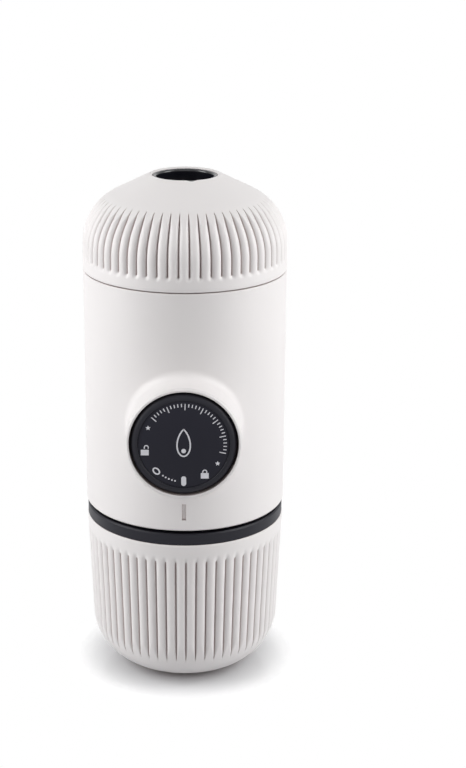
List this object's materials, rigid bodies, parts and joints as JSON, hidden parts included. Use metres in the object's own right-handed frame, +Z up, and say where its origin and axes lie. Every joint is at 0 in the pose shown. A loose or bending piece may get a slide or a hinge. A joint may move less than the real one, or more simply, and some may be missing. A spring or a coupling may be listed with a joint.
{
  "type": "hand-held pump espresso maker",
  "caption": "Upright cylindrical hand pump coffee maker: ribbed screw-on water tank, plain body with a round pump knob, and a ribbed cup below a dark filter holder.",
  "frame": {"origin": "centre of the cup's resting face, on the body axis", "axes": "+Z up along the body axis, -Y out of the pump knob, +X to the right seen from the knob's side"},
  "size_m": [0.0614, 0.071, 0.1565],
  "materials": {
    "white_shell": "fine satin, slightly warm white",
    "charcoal": "fine matt",
    "dial": "fine matt, printed marks",
    "smoke": "polished",
    "chassis": "moulded, plain",
    "pump": "smooth",
    "steel": "brushed",
    "seal": "soft, slightly shiny",
    "soft": "soft, milky"
  },
  "bodies": {
    "housing": {"body_shell": "white_shell", "tank_socket": "chassis", "inlet_strainer": "steel", "inlet_valve": "soft", "outlet_valve": "soft", "duct_seals": "seal", "pump_block": "chassis", "pump_cylinder": "pump", "return_spring": "steel", "brew_block": "chassis", "chassis_screws": "steel", "shower_screen": "steel", "screen_screw": "steel", "brew_gasket": "seal"},
    "tank_seal": {"tank_seal": "seal"},
    "tank": {"tank_shell": "white_shell", "tank_vessel": "smoke", "vent_guard": "smoke", "vent_valve": "soft"},
    "piston_seal": {"piston_seal": "seal"},
    "plunger": {"plunger_rod": "pump", "knob_sleeve": "charcoal", "knob_face": "dial", "knob_screw": "steel"},
    "basket": {"filter_basket": "steel"},
    "cup_ring": {"cup_ring": "seal"},
    "portafilter": {"portafilter": "charcoal", "outlet_nozzle": "soft"},
    "cup": {"drinking_cup": "white_shell"}
  },
  "joints": [
    {"name": "tank_lift", "type": "slide", "parent": "housing", "child": "tank_seal", "axis": [0, 0, 1], "range_m": [0, 0.045]},
    {"name": "tank_turn", "type": "hinge", "parent": "tank_seal", "child": "tank", "pos_m": [0, 0, 0.11], "axis": [0, 0, 1], "range_deg": [0, 270]},
    {"name": "pump_stroke", "type": "slide", "parent": "housing", "child": "piston_seal", "axis": [0, -1, 0], "range_m": [0, 0.02], "deforming": ["return_spring"]},
    {"name": "lock_turn", "type": "hinge", "parent": "piston_seal", "child": "plunger", "pos_m": [0, 0, 0.0856], "axis": [0, -1, 0], "range_deg": [0, 45]},
    {"name": "head_drop", "type": "slide", "parent": "housing", "child": "basket", "axis": [0, 0, -1], "range_m": [0, 0.06]},
    {"name": "basket_clear", "type": "slide", "parent": "basket", "child": "cup_ring", "axis": [0, 0, -1], "range_m": [0, 0.03]},
    {"name": "head_turn", "type": "hinge", "parent": "cup_ring", "child": "portafilter", "pos_m": [0, 0, 0.05], "axis": [0, 0, -1], "range_deg": [0, 120]},
    {"name": "cup_pull", "type": "slide", "parent": "portafilter", "child": "cup", "axis": [0, 0, -1], "range_m": [0, 0.045]}
  ]
}
